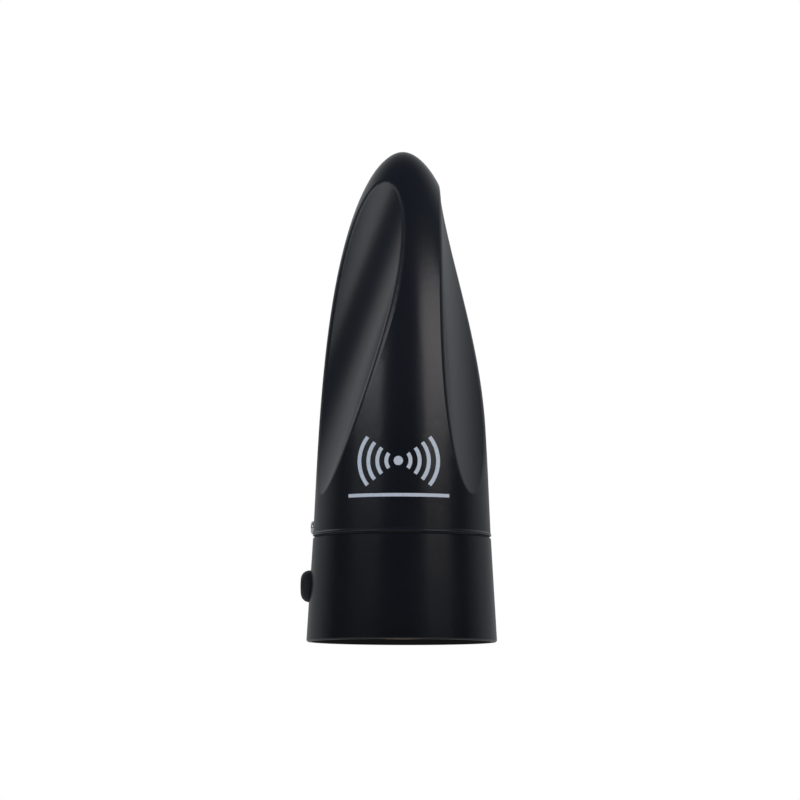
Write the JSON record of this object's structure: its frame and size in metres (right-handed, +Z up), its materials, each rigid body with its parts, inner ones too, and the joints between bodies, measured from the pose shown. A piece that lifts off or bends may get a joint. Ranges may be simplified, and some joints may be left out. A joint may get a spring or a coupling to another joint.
{
  "type": "omnidirectional tv antenna",
  "caption": "Upright fluted radome on a tapered round base with a threaded mast hole, a coaxial connector and a side cable exit closed by a plug.",
  "frame": {"origin": "centre of the base rim, on the surface that the antenna stands on", "axes": "+Z up along the mast axis, -Y towards the printed front, -X towards the side cable exit"},
  "size_m": [0.0991, 0.0962, 0.25],
  "materials": {
    "black_shell": "satin moulded ABS",
    "black_skirt": "satin moulded ABS",
    "black_nylon": "moulded glass-filled nylon",
    "black_rubber": "moulded rubber",
    "soft_rubber": "soft silicone rubber",
    "brass": "turned brass",
    "stainless": "polished stainless steel",
    "nickel": "nickel plated",
    "tinned_steel": "tinned sheet",
    "copper_foil": "copper foil on the laminate",
    "board_laminate": "glass epoxy laminate, green mask",
    "component_plastic": "moulded chip packages and small capacitors",
    "ferrite": "sintered ferrite",
    "white_abs": "moulded ABS",
    "white_insulator": "moulded fluoroplastic",
    "print_ink": "pad-printed ink"
  },
  "bodies": {
    "antenna": {"radome": "black_shell", "base_skirt": "black_skirt", "seam_seal": "black_rubber", "mount_plate": "black_nylon", "mast_socket": "black_nylon", "socket_screws": "stainless", "mast_insert": "brass", "locking_screw": "stainless", "plate_screws": "stainless", "f_connector": "nickel", "f_insulator": "white_insulator", "f_contact": "brass", "f_washer": "nickel", "f_nut": "nickel", "amplifier_board": "board_laminate", "shield_can": "tinned_steel", "board_parts": "component_plastic", "balun_core": "ferrite", "board_spacers": "brass", "feed_pins": "brass", "carrier": "white_abs", "carrier_screws": "stainless", "main_board": "board_laminate", "cross_board": "board_laminate", "main_radiator": "copper_foil", "cross_radiator": "copper_foil", "top_holder": "soft_rubber", "front_emblem": "print_ink"},
    "plug": {"side_plug": "black_rubber"}
  },
  "joints": [
    {"name": "plug_pull", "type": "slide", "parent": "antenna", "child": "plug", "axis": [-1, 0, 0], "range_m": [0, 0.025]}
  ]
}
